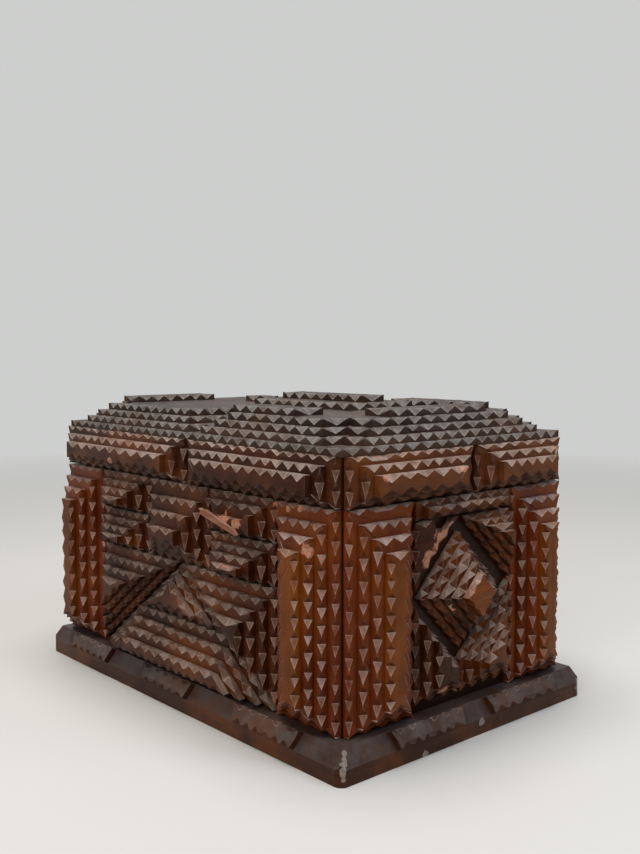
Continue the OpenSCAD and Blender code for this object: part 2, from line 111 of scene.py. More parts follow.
@dataclass(frozen=True)
class Sizes:
    """The box's real sizes in millimetres, the same as in the CAD source."""

    box_w: float = 244.0
    box_d: float = 158.0
    box_h: float = 100.0
    plinth_h: float = 15.5
    plinth_ledge: float = 4.0
    bevel_out: float = 4.3
    bevel_h: float = 8.0
    bar_t: float = 3.2
    layer_t: float = 3.6
    pitch: float = 7.8
    piece_gap: float = 0.8
    post_w: float = 40.5
    post_foot: float = 0.5
    post_step: float = 4.8
    post_drop: float = 6.3
    post_rise: float = 3.6
    post_gap: float = 4.3
    left_post_shares: Range = (1.33, 0.71)
    band_z: float = 59.0
    block_a_w: float = 49.0
    block_b_w: float = 54.5
    block_step: float = 5.2
    block_rise: float = 1.4
    block_drop: float = 4.0
    tall_rise: float = 3.7
    tall_drop: float = 7.5
    panel_foot: float = 1.0
    slant_gaps: float = 2.2
    wing_drop: float = 5.5
    wing_step: float = 3.2
    peak_z: float = 28.5
    peak_steps: Point3 = (3, 3.4, 3.4)
    trapezoid_steps: tuple[float, ...] = (1.2, 4, 5.4, 4)
    strip_h: float = 9.0
    strip_rise: float = 1.0
    strip_drop: float = 3.0
    diamond_r: float = 28.0
    diamond_step: float = 3.1
    diamond_y: float = -2.5
    diamond_z: float = 54.5
    corner_r: float = 35.0
    slant_step: float = 2.3
    corner_step: float = 3.0
    foot_step: float = 4.4
    foot_z: float = 5.0
    lid_gap: float = 0.6
    rim_h: float = 22.4
    rim_step: float = 5.8
    rim_rise: float = 2.4
    rim_drop: float = 4.1
    rim_half_split: float = 1.6
    cover_inset: float = 1.5
    course_step: float = 4.2
    corner_cut: float = 12.8
    valley_w: float = 10.0
    valley_x: float = 7.0
    bar_d: float = 18.0
    bar_w: float = 17.0
    front_lap: float = 0.4
    side_lap: float = 2.4

    @property
    def half_w(self) -> float:
        """Half the width over the first layers."""
        return self.box_w / 2

    @property
    def half_d(self) -> float:
        """Half the depth over the first layers."""
        return self.box_d / 2

    @property
    def rim_z(self) -> float:
        """Height of the lid's lower edge above the box's foot."""
        return self.box_h + self.lid_gap

    @property
    def cover_z(self) -> float:
        """Height of the cover board's lower face above the box's foot."""
        return self.rim_z + self.rim_h

    @property
    def plinth_out(self) -> float:
        """How far the plinth stands out from the first layers."""
        return self.plinth_ledge + self.bevel_out


S = Sizes()
# The two corners of the CAD's bounding box in metres, filled in by main. No vertex leaves it.
LIMITS: list[Vector] = []


class Face(Enum):
    """The sides of the box that carry carved boards."""

    FRONT = "front"
    BACK = "back"
    LEFT = "left"
    RIGHT = "right"
    TOP = "top"


class Body(Enum):
    """The bodies of the CAD frame."""

    BOX = "box"
    LID = "lid"


class Slot(Enum):
    """The record's material slots."""

    CARVED = "carved_wood"
    DUSTY = "dusty_wood"
    PLINTH = "plinth_wood"


class Kind(Enum):
    """What a stack is, where its boards differ from the rest."""

    PLAIN = "plain"
    POST = "post"
    DIAMOND = "diamond"
    BROKEN_BLOCK = "broken block"
    BITTEN_CORNER = "bitten corner"


class Finish(Enum):
    """The finishes of a carved face, in the order of its materials."""

    POST = 0
    PANEL = 1
    SPLINTER = 2
    PLATEAU = 3


# ---------------------------------------------------------------- outlines


def rect(x0: float, y0: float, x1: float, y1: float) -> Outline:
    """Corners of a rectangle, counter-clockwise from the lower left."""
    return [(x0, y0), (x1, y0), (x1, y1), (x0, y1)]


def inset(outline: Outline, steps: Sequence[float]) -> Outline:
    """Moves each edge of an outline inward by its own distance.

    Args:
        outline: Corners, counter-clockwise.
        steps: The distance of each edge, the first edge starting at the first corner.

    Returns:
        The corners of the smaller outline.
    """
    count = len(outline)
    points = [Vector(p) for p in outline]
    result: Outline = []
    for i in range(count):
        a = (points[i] - points[i - 1]).normalized()
        b = (points[(i + 1) % count] - points[i]).normalized()
        start = points[i] + Vector((-a.y, a.x)) * steps[i - 1]
        other = points[i] + Vector((-b.y, b.x)) * steps[i]
        gap = other - start
        turn = a.x * b.y - a.y * b.x
        hit = start + a * ((gap.x * b.y - gap.y * b.x) / turn)
        result.append((hit.x, hit.y))
    return result


@dataclass
class Stack:
    """A glued pile of boards: the first outline, the step of each edge, and the number of boards."""

    outline: Outline
    steps: Sequence[float]
    count: int = 4
    kind: Kind = Kind.PLAIN

    def board(self, level: int) -> Outline:
        """Outline of one board, level 1 being the lowest."""
        return inset(self.outline, [s * (level - 1) for s in self.steps])


def post(x0: float, right: float = S.post_step, left: float = S.post_step) -> Stack:
    """Corner post of four boards.

    Args:
        x0: Place of the post's left edge.
        right: Step of the boards' right edges.
        left: Step of their left edges.

    Returns:
        The post's stack.
    """
    outline = rect(x0, S.post_foot, x0 + S.post_w, S.box_h)
    return Stack(outline, [S.post_rise, right, S.post_drop, left], kind=Kind.POST)


def block(outline: Outline, tall: bool = False, kind: Kind = Kind.PLAIN) -> Stack:
    """Stepped block of the upper band.

    Args:
        outline: Outline of the lowest board.
        tall: True for the block that is as high as the band.
        kind: What the stack is.

    Returns:
        The block's stack.
    """
    rise, drop = (S.tall_rise, S.tall_drop) if tall else (S.block_rise, S.block_drop)
    return Stack(outline, [rise, S.block_step, drop, S.block_step], kind=kind)


def panel(x0: float, x1: float) -> list[Stack]:
    """Stacks between the posts of a long face: five blocks over two wings, a peak and a trapezoid.

    Args:
        x0: Left edge of the panel.
        x1: Right edge of the panel.

    Returns:
        The stacks.
    """
    gap = S.piece_gap
    a1 = x0 + S.block_a_w
    b0 = a1 + gap
    b1 = b0 + S.block_b_w
    c0 = b1 + gap
    mid_z = (S.band_z + S.box_h) / 2
    below, above = mid_z - gap / 2, mid_z + gap / 2
    low, top = S.panel_foot, S.band_z - gap
    reach = S.slant_gaps * gap
    peak = (x0 + x1) / 2
    half = (x1 - x0) / 2 / (top - low) * (top - S.peak_z)
    peak_foot, trapezoid_top = S.peak_z + gap / 2, S.peak_z - gap / 2
    wing_steps = [S.post_step, S.wing_step, S.wing_drop]
    return [
        block(rect(x0, S.band_z, a1, below)),
        block(rect(x0, above, a1, S.box_h)),
        block(rect(b0, S.band_z, b1, S.box_h), tall=True),
        block(rect(c0, S.band_z, x1, below)),
        block(rect(c0, above, x1, S.box_h), kind=Kind.BROKEN_BLOCK),
        Stack([(x0, top), (x0, low + reach), (peak - reach, top)], wing_steps),
        Stack([(x1, top), (peak + reach, top), (x1, low + reach)], wing_steps[::-1]),
        Stack(
            [(peak - half + reach, peak_foot), (peak + half - reach, peak_foot), (peak, top - reach / 2)],
            S.peak_steps,
            3,
        ),
        Stack(
            [
                (x0 + reach, low),
                (x1 - reach, low),
                (peak + half + reach / 2, trapezoid_top),
                (peak - half - reach / 2, trapezoid_top),
            ],
            S.trapezoid_steps,
        ),
    ]


def long_face(left: float, right: float) -> list[Stack]:
    """Two posts with the panel between them.

    Args:
        left: Left edge of the face.
        right: Right edge of the face.

    Returns:
        The stacks.
    """
    gap = S.piece_gap
    steps = [share * S.post_step for share in S.left_post_shares]
    posts = [post(left, *steps), post(right - S.post_w)]
    return posts + panel(left + S.post_w + gap, right - S.post_w - gap)


def short_face(near: float, far: float) -> list[Stack]:
    """Two posts, a diamond between four corner stacks, and a strip above.

    Args:
        near: The face's edge at the front of the box.
        far: Its edge at the back.

    Returns:
        The stacks.
    """
    gap = S.piece_gap
    x0 = near + S.post_w + gap
    x1 = far - S.post_w - gap
    top = S.box_h - S.strip_h - gap
    mx, mz, r = S.diamond_y, S.diamond_z, S.diamond_r
    near_z = max(gap, S.corner_r - (mx - x0))
    far_z = max(gap, S.corner_r - (x1 - mx))
    valley = mz - S.corner_r + gap
    slant, edge, rise, foot = S.slant_step, S.corner_step, S.post_rise, S.foot_step
    low = S.foot_z
    strip = rect(x0, S.box_h - S.strip_h, x1, S.box_h)
    diamond = [(mx, mz - r), (mx + r, mz), (mx, mz + r), (mx - r, mz)]
    low_near = [(x0, low), (mx - gap, low), (mx - gap, valley), (x0, mz - near_z)]
    low_far = [(mx + gap, low), (x1, low), (x1, mz - far_z), (mx + gap, valley)]
    return [
        post(near),
        post(far - S.post_w),
        Stack(strip, [S.strip_rise, S.post_step, S.strip_drop, S.post_step], 2),
        Stack(diamond, [S.diamond_step] * 4, 5, Kind.DIAMOND),
        Stack([(x0, top), (x0, mz + near_z), (mx - gap, top)], [edge, slant, edge], 3, Kind.BITTEN_CORNER),
        Stack([(x1, top), (mx + gap, top), (x1, mz + far_z)], [edge, slant, edge]),
        Stack(low_near, [rise, edge, slant, foot], 3),
        Stack(low_far, [rise, foot, slant, edge]),
    ]


def rim_bars(left: float, right: float, split: float) -> list[Stack]:
    """Two bars of three boards on one side of the lid's rim.

    Args:
        left: Left end of the rim.
        right: Right end of the rim.
        split: Place of the gap between the bars.

    Returns:
        The two stacks.
    """
    steps = [S.rim_rise, S.rim_step, S.rim_drop, S.rim_step]
    half = S.rim_half_split
    return [
        Stack(rect(left, S.rim_z, split - half, S.cover_z), steps, 3),
        Stack(rect(split + half, S.rim_z, right, S.cover_z), steps, 3),
    ]


def half_course(x0: float, x1: float) -> Outline:
    """Half of a course on the lid, with its outer corners cut out.

    Args:
        x0: The half's edge at the valley.
        x1: Its outer edge.

    Returns:
        The corners.
    """
    y = S.half_d - S.course_step
    c = S.corner_cut
    lower = [(x0, -y), (x1 - c, -y), (x1 - c, -y + c), (x1, -y + c)]
    return lower + [(x, -v) for x, v in reversed(lower)]


# ------------------------------------------------------------------ boards


def mapper(face: Face) -> Mapper:
    """Finds how (along, up, out) of a face, in millimetres, becomes a place in metres.

    Args:
        face: The side of the box.

    Returns:
        The function that turns the three lengths into a place.
    """
    base = S.plinth_h
    y0, x0 = S.half_d - S.layer_t, S.half_w - S.layer_t
    mappers: dict[Face, Mapper] = {
        Face.FRONT: lambda u, v, w: Vector((u, -(y0 + w), base + v)) * MM,
        Face.BACK: lambda u, v, w: Vector((u, y0 + w, base + v)) * MM,
        Face.RIGHT: lambda u, v, w: Vector((x0 + w, u, base + v)) * MM,
        Face.LEFT: lambda u, v, w: Vector((-(x0 + w), u, base + v)) * MM,
        Face.TOP: lambda u, v, w: Vector((u, v, base + S.cover_z + w)) * MM,
    }
    return mappers[face]


@dataclass(frozen=True)
class Chips:
    """How the chips along a board's edges are cut: lengths in millimetres, the rest as shares."""

    pitch: float = S.pitch
    inward: float = 3.2
    down: float = 2.8
    flat: float = 1.0
    jitter: float = 0.09
    skew: float = 0.08
    blunt: float = 0.5
    tip_flat: float = 0.4
    # On a small board the chips reach this share of its inner radius.
    reach: float = 0.62
    corner_reach: float = 0.9
    sharpest_corner: float = 0.12
    # Wood that is left under a chip.
    left_under: float = 0.15
    left_at_least: float = 0.1
    # A knocked-off tooth.
    lost_chance: float = 0.006
    lost_part: Range = (0.25, 0.6)
    lost_inward: float = 0.7
    # How the knife varies.
    row_stretch: Range = (0.90, 1.22)
    blunt_part: Range = (0.15, 1.0)
    blunt_drop: float = 0.8
    flat_part: Range = (0.4, 1.0)
    middle_shift: Range = (-0.05, 0.05)
    size: Range = (0.84, 1.06)
    largest: float = 1.02
    depth: Range = (0.92, 1.05)
    slip: Range = (-0.3, 0.3)
    # Wear and painted highlight at a tooth's tip, at a board's corner, and at a chip's inner and lower ends.
    tip_wear: float = 1.0
    corner_wear: float = 0.7
    inner_wear: float = 0.8
    lower_wear: float = 0.2


NO_CHIPS = Chips(pitch=400.0)


@dataclass(frozen=True)
class Grain:
    """How the grain runs on one board: its tone, its turn, and its place on the wood."""

    tone: float
    turn: float
    shift: Point2
    per_mm: float = 0.01
    chip_stretch: float = 1.6

    def spot(self, at: Vector, height: float) -> Point2:
        """Grain coordinates of a spot.

        Args:
            at: Place on the board.
            height: Height above the board's back.

        Returns:
            The two coordinates.
        """
        co, si = math.cos(self.turn), math.sin(self.turn)
        along, across = co * at.x + si * at.y, -si * at.x + co * at.y + height
        return (along * self.per_mm + self.shift[0], across * self.per_mm + self.shift[1])


class Corner(NamedTuple):
    """One corner of a face: its vertex, its place and height, its wear and painted highlight, and 1 on fresh
    breaks.
    """

    vert: bmesh.types.BMVert
    at: Vector
    height: float
    wear: float = 0.0
    fresh: float = 0.0


class Edge(NamedTuple):
    """One edge of a board: where it starts, its direction, and the direction into the board."""

    start: Vector
    along: Vector
    into: Vector


class BoardMesh:
    """Collects carved boards in one mesh, with grain coordinates and values of wear and painted highlight at
    the corners.
    """

    def __init__(self, name: str, seed: int) -> None:
        """Starts an empty mesh.

        Args:
            name: The piece's name.
            seed: Seed of the boards' small differences.
        """
        self.name = name
        self.rng = random.Random(seed)
        self.bm = bmesh.new()
        self.uv = self.bm.loops.layers.uv.new("grain")
        self.tone = self.bm.loops.layers.float_color.new("tone")
        self.line = self.bm.loops.layers.float_color.new("line")
        self.finish = Finish.POST

    def face(self, corners: Sequence[Corner], grain: Grain, chip: bool = False) -> None:
        """Adds one face with its grain and wear.

        Args:
            corners: The face's corners in order.
            grain: The board's grain.
            chip: True for a knife-cut facet, whose edges show as lines of wear and painted highlight.
        """
        face = self.bm.faces.new([corner.vert for corner in corners])
        face.material_index = self.finish.value
        stretch = grain.chip_stretch if chip else 1.0
        for number, (loop, corner) in enumerate(zip(face.loops, corners)):
            loop[self.uv].uv = grain.spot(corner.at, corner.height * stretch)
            loop[self.tone] = (grain.tone, corner.wear, corner.fresh, 1.0)
            edges = (number == 0, number == 1, number == 2) if chip else (1.0, 1.0, 1.0)
            loop[self.line] = (*edges, 1.0)

    def write(self, materials: Sequence[Material], body: Body, slot: Slot, node: str) -> None:
        """Writes the mesh as a piece that rides on a body and stands for a CAD node.

        Args:
            materials: The piece's materials in the order of the finishes.
            body: The body that it rides on.
            slot: Its material slot; not used.
            node: The CAD node that it replaces.
        """
        for vert in self.bm.verts:
            vert.co = [min(max(c, low), high) for c, low, high in zip(vert.co, *LIMITS)]
        bmesh.ops.recalc_face_normals(self.bm, faces=self.bm.faces)
        mesh = bpy.data.meshes.new(self.name)
        self.bm.to_mesh(mesh)
        self.bm.free()
        for material in materials:
            mesh.materials.append(material)
        obj = bpy.data.objects.new(self.name, mesh)
        bpy.context.scene.collection.objects.link(obj)
        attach(obj, body.value)
        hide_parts(node)
        LOG.info("built %s", self.name)


@dataclass
class Board:
    """One board with chips cut along all its front edges."""

    mesh: BoardMesh
    outline: Outline
    low: float
    high: float
    place: Mapper
    chips: Chips
    turn: float = 0.0
    tilt: float = 0.10
    offset: float = 0.12
    wood_size: float = 30.0

    def __post_init__(self) -> None:
        """Works out how deep the chips go, and draws the board's tilt, offset and grain."""
        rng, points = self.mesh.rng, [Vector(p) for p in self.outline]
        count = len(points)
        self.points: list[Vector] = points
        area = sum(points[i - 1].x * points[i].y - points[i - 1].y * points[i].x for i in range(count)) / 2
        girth = sum((points[i] - points[i - 1]).length for i in range(count))
        self.inward = min(self.chips.inward, self.chips.reach * 2 * abs(area) / girth)
        self.down = min(self.chips.down, self.high - self.low - self.chips.left_under)
        self.centre = sum(points, Vector((0.0, 0.0))) / count
        self.slope = Vector((rng.uniform(-1, 1), rng.uniform(-1, 1))) * self.tilt / max(girth / 4, 1.0)
        self.shift = Vector([rng.uniform(-self.offset, self.offset) for _ in range(2)])
        tone = rng.random()
        self.grain = Grain(tone, self.turn, (rng.uniform(0, self.wood_size), rng.uniform(0, self.wood_size)))

    def build(self) -> None:
        """Cuts every edge, and closes the board with its front and its back."""
        back = [self._corner(p, self.low) for p in self.points]
        front = [self._corner(p, self.high, self.chips.corner_wear) for p in self.points]
        ring: list[Corner] = []
        for i, start in enumerate(front):
            after = (i + 1) % len(front)
            inner, side, facets = self._edge(i)
            ring += [start, *inner]
            self.mesh.face([back[i], back[after], front[after], *reversed(side), start], self.grain)
            for facet in facets:
                self.mesh.face(facet, self.grain, chip=True)
        self.mesh.face([Corner(c.vert, c.at, self.high) for c in ring], self.grain)
        self.mesh.face(back[::-1], self.grain)

    def _corner(self, at: Vector, height: float, wear: float = 0.0, fresh: float = 0.0) -> Corner:
        """Makes a vertex, lifted by the board's tilt unless it is on the back.

        Args:
            at: Place on the board.
            height: Height above the face's ground.
            wear: How worn it is, and how much painted highlight it gets.
            fresh: 1 on a fresh break.

        Returns:
            The corner on that vertex.
        """
        spot = at + self.shift
        lift = self.slope.dot(at - self.centre) if height > self.low else 0.0
        vert = self.mesh.bm.verts.new(self.place(spot.x, spot.y, height + lift))
        return Corner(vert, at, height, wear, fresh)

    def _edge(self, i: int) -> tuple[list[Corner], list[Corner], list[list[Corner]]]:
        """Cuts the chips of one edge.

        Args:
            i: Number of the corner where the edge starts.

        Returns:
            The corners along the front, those along the side, and the chips' facets.
        """
        chips, rng = self.chips, self.mesh.rng
        before, a, b, after = (self.points[(i + k) % len(self.points)] for k in (-1, 0, 1, 2))
        along = (b - a).normalized()
        edge = Edge(a, along, Vector((-along.y, along.x)))
        start = self._plain(before, a, b)
        room = (b - a).length - start - self._plain(a, b, after)
        teeth = int(room // (chips.pitch * rng.uniform(*chips.row_stretch)))
        if teeth < 1:
            return [], [], []
        pitch = room / teeth
        marks = [start + k * pitch for k in range(teeth + 1)]
        for k in range(1, teeth):
            marks[k] += rng.uniform(-1, 1) * chips.jitter * pitch
        tips = [self._tip(edge, mark) for mark in marks]
        front, side, facets = list(tips[0]), list(tips[0]), []
        for k in range(1, teeth + 1):
            share = 0.5 + chips.skew * along.y + rng.uniform(*chips.middle_shift)
            mark = marks[k - 1] * (1 - share) + marks[k] * share
            size = min(1.0, (marks[k] - marks[k - 1]) / pitch) * rng.uniform(*chips.size)
            inner, lower = self._chip(edge, mark, size)
            facets += [[tips[k - 1][1], inner, lower], [tips[k][0], lower, inner]]
            front += [inner, *tips[k]]
            side += [lower, *tips[k]]
        return front, side, facets

    def _tip(self, edge: Edge, mark: float) -> list[Corner]:
        """Makes a tooth's tip: a small flat, a little blunt, or well back where it is knocked off.

        Args:
            edge: The edge.
            mark: How far along the edge the tip lies.

        Returns:
            The flat's two corners.
        """
        chips, rng = self.chips, self.mesh.rng
        at = edge.start + edge.along * mark
        hurt = rng.uniform(*chips.lost_part) if rng.random() < chips.lost_chance else 0.0
        if hurt:
            at = at + edge.into * self.inward * hurt * chips.lost_inward
            height = self.high - self.down * hurt
        else:
            blunt = rng.uniform(*chips.blunt_part) * chips.blunt
            at = at + edge.into * blunt
            height = self.high - blunt * chips.blunt_drop
        half = edge.along * rng.uniform(*chips.flat_part) * chips.tip_flat
        fresh = 1.0 if hurt else 0.0
        return [self._corner(p, height, chips.tip_wear, fresh) for p in (at - half, at + half)]

    def _chip(self, edge: Edge, mark: float, size: float) -> list[Corner]:
        """Cuts one chip.

        Args:
            edge: The edge.
            mark: How far along the edge the chip lies.
            size: Its size as a share of a full chip.

        Returns:
            The chip's inner end on the front and its lower end on the side.
        """
        chips, rng = self.chips, self.mesh.rng
        start, along, into = edge
        inner = start + along * mark + into * min(self.inward * size, self.inward * chips.largest)
        depth = min(self.down * size * rng.uniform(*chips.depth), self.high - self.low - chips.left_at_least)
        lower = start + along * (mark + rng.uniform(*chips.slip))
        return [
            self._corner(inner, self.high, chips.inner_wear),
            self._corner(lower, self.high - depth, chips.lower_wear),
        ]

    def _plain(self, before: Vector, here: Vector, after: Vector) -> float:
        """Plain edge kept beside a corner, longer where the corner is sharp.

        Args:
            before: The corner before.
            here: The corner.
            after: The corner after.

        Returns:
            The plain edge's length.
        """
        chips = self.chips
        u, v = (before - here).normalized(), (after - here).normalized()
        half = max(math.acos(max(-1.0, min(1.0, u.dot(v)))) / 2, chips.sharpest_corner)
        return max(chips.flat, chips.corner_reach * self.inward / math.tan(half) - chips.pitch / 2)


# --------------------------------------------------------------- materials


class Nodes:
    """Small helper that adds and links shader nodes."""

    def __init__(self, owner: Union[Material, bpy.types.World]) -> None:
        """Starts an empty node tree.

        Args:
            owner: The material or world that gets it.
        """
        owner.use_nodes = True
        self.tree = owner.node_tree
        self.tree.nodes.clear()

    def add(self, kind: str, inputs: Optional[Inputs] = None, **props: object) -> bpy.types.Node:
        """Adds a node.

        Args:
            kind: Blender's name of the node.
            inputs: What its inputs get: output sockets, numbers, vectors or colours.
            **props: Properties to set on it first.

        Returns:
            The new node.
        """
        node = self.tree.nodes.new(kind)
        for key, value in props.items():
            setattr(node, key, value)
        for key, value in (inputs or {}).items():
            target = node.inputs[key]
            if isinstance(value, Socket):
                self.tree.links.new(value, target)
            else:
                target.default_value = (*value, 1.0) if target.type == "RGBA" else value
        return node

    def math(self, op: str, a: Value, b: Value = 0.0) -> Socket:
        """Result of a math operation on sockets or numbers."""
        return self.add("ShaderNodeMath", {0: a, 1: b}, operation=op).outputs[0]

    def times(self, *values: Value) -> Value:
        """Product of sockets and numbers."""
        return reduce(partial(self.math, "MULTIPLY"), values)

    def plus(self, *values: Value) -> Value:
        """Sum of sockets and numbers."""
        return reduce(partial(self.math, "ADD"), values)

    def centred(self, value: Value) -> Socket:
        """A value from 0 to 1, moved to lie around 0."""
        return self.math("SUBTRACT", value, 0.5)

    def mix(self, factor: Value, a: Value, b: Value) -> Socket:
        """Two colours mixed, with the factor as the second one's share."""
        return self.add("ShaderNodeMix", {0: factor, 6: a, 7: b}, data_type="RGBA").outputs[2]

    def noise(self, at: Socket, scale: float, detail: float = 3.0, rough: float = 0.55,
              bend: float = 0.0) -> Socket:
        """Value of a noise texture at a place."""
        given = {"Vector": at, "Scale": scale, "Detail": detail, "Roughness": rough, "Distortion": bend}
        return self.add("ShaderNodeTexNoise", given).outputs["Fac"]

    def span(self, value: Value, low: float, high: float, to_low: float = 0.0,
             to_high: float = 1.0) -> Socket:
        """A value spread from one range to another and clamped."""
        given = {"Value": value, "From Min": low, "From Max": high, "To Min": to_low, "To Max": to_high}
        return self.add("ShaderNodeMapRange", given).outputs["Result"]

    def vector(self, op: str, a: Value, b: Value = (0.0, 0.0, 0.0)) -> Socket:
        """Value of a vector operation."""
        return self.add("ShaderNodeVectorMath", {0: a, 1: b}, operation=op).outputs["Value"]

    def layer(self, name: str) -> list[Socket]:
        """The three channels of a colour layer of the mesh."""
        colour = self.add("ShaderNodeVertexColor", layer_name=name).outputs["Color"]
        return list(self.add("ShaderNodeSeparateColor", {"Color": colour}).outputs)

    def parts(self, vector: Socket) -> list[Socket]:
        """The three parts of a vector."""
        return list(self.add("ShaderNodeSeparateXYZ", {"Vector": vector}).outputs)

    def scaled(self, vector: Socket, scale: Point3) -> Socket:
        """A vector stretched along its axes."""
        return self.add("ShaderNodeMapping", {"Vector": vector, "Scale": scale}).outputs["Vector"]

    def seen(self) -> Socket:
        """Finds the rays to which the background shows as it is.

        Returns:
            1 for camera, glossy and transmission rays and 0 for the rest.
        """
        rays = self.add("ShaderNodeLightPath").outputs
        either = self.math("MAXIMUM", rays["Is Camera Ray"], rays["Is Glossy Ray"])
        return self.math("MAXIMUM", either, rays["Is Transmission Ray"])

    def output(self, shader: Socket) -> None:
        """Joins a shader to the material's output."""
        self.add("ShaderNodeOutputMaterial", {"Surface": shader})

    def surface(self, height: Value, bump: Range, **inputs: Value) -> None:
        """Joins a bumped Principled shader to the material's output.

        Args:
            height: Height of the bump.
            bump: The bump's strength, and its distance in metres.
            **inputs: The shader's inputs, with _ for a space in their names.
        """
        given = {"Strength": bump[0], "Distance": bump[1], "Height": height}
        named: Inputs = {name.replace("_", " "): value for name, value in inputs.items()}
        named["Normal"] = self.add("ShaderNodeBump", given).outputs["Normal"]
        self.output(self.add("ShaderNodeBsdfPrincipled", named).outputs["BSDF"])


@dataclass(frozen=True)
class Patch:
    """A place on the box, in millimetres, where the finish is worn through."""

    x: float
    y: float
    z: float
    radius: float


@dataclass(frozen=True)
class WoodLook:
    """Colours of one kind of old shellacked wood, and its worn patches."""

    dark: Colour
    light: Colour
    # Dust, and a painted sheen, on faces that turn up.
    dust: Colour
    # Painted shade on faces that turn down.
    under: Colour = (0.034, 0.0060, 0.0012)
    amber: Colour = (0.150, 0.042, 0.006)
    amber_amount: float = 0.5
    # Colour of wear, and of the painted highlight on the chips' edges and the teeth's tips.
    worn: Colour = (0.36, 0.26, 0.21)
    raw: Colour = (0.46, 0.13, 0.048)
    dust_amount: float = 0.85
    rough: float = 0.34
    carved: bool = True
    flat_dust: float = 1.0
    # Strength of the lines of wear and painted highlight.
    line_amount: float = 0.6
    # Painted shade on the walls' outer faces, which show in the gaps between the boards.
    stained_outside: bool = False
    patches: tuple[Patch, ...] = ()


@dataclass(frozen=True)
class WoodDetail:
    """What all woods share. A noise has its scale, octaves, roughness and distortion.

    A mask has the values where it starts and ends, and then what it gives there if not 0 and 1.
    """

    grain_on_uv: Point3 = (9.0, 190.0, 1.0)
    grain_on_place: Point3 = (60.0, 60.0, 1400.0)
    figure_stretch: Point3 = (0.25, 0.16, 0.3)
    grain: Mask = (1.0, 4.0, 0.6, 0.3)
    figure: Mask = (1.0, 2.0, 0.5, 0.6)
    blotch: Mask = (28.0, 3.0, 0.6)
    stain: Mask = (85.0, 3.0, 0.6)
    speck: Mask = (330.0, 2.0, 0.5)
    fine: Mask = (900.0, 2.0, 0.5)
    grain_share: float = 0.55
    board_share: float = 0.34
    lightness: Mask = (0.30, 0.88)
    amber_blotch: Mask = (0.50, 0.64)
    amber_grain: Mask = (0.30, 0.60, 0.5, 1.0)
    # Painted shade on faces that turn down, patchy with the stain noise.
    under_up: Mask = (-0.08, -0.50)
    under_stain: Mask = (0.30, 0.60, 0.7, 1.0)
    under_amount: float = 0.85
    # Dust and a painted sheen on faces that turn up.
    dust_up: Mask = (0.14, 0.46)
    dust_stain: Mask = (0.36, 0.58, 0.34, 1.0)
    dust_speck: Mask = (0.30, 0.62, 0.60, 1.0)
    flat_up: Mask = (0.84, 0.97)
    # Painted shade on the walls' outer faces between the boards.
    outside: Mask = (0.985, 0.995)
    outside_stain: Colour = (0.013, 0.0042, 0.0020)
    # Lines of wear and painted highlight along the chips' edges, brighter on faces that turn up.
    line_width: Mask = (0.10, 0.02)
    line_speck: Mask = (0.38, 0.58, 0.15, 1.0)
    line_up: Mask = (-0.1, 0.3)
    line_below: float = 0.15
    # Wear and painted highlight on the teeth's tips.
    wear_power: float = 9.0
    wear_speck: Mask = (0.42, 0.60)
    wear_amount: float = 0.35
    broken_speck: float = 0.6
    broken: Mask = (0.42, 0.54)
    fresh: Mask = (0.02, 0.2)
    patch_speck: float = 1.6
    patch_edge: Mask = (1.0, 0.8)
    raw_grain: Mask = (0.35, 0.65)
    raw_amount: float = 0.85
    raw_rough: float = 0.25
    gloss: Mask = (0.2, 0.8)
    gloss_spread: Range = (0.07, 0.09)
    specular: float = 0.17
    specular_tint: Colour = (0.85, 0.45, 0.30)
    relief: Point3 = (0.5, 0.35, 0.18)
    bump: Range = (0.45, 0.0005)


D = WoodDetail()


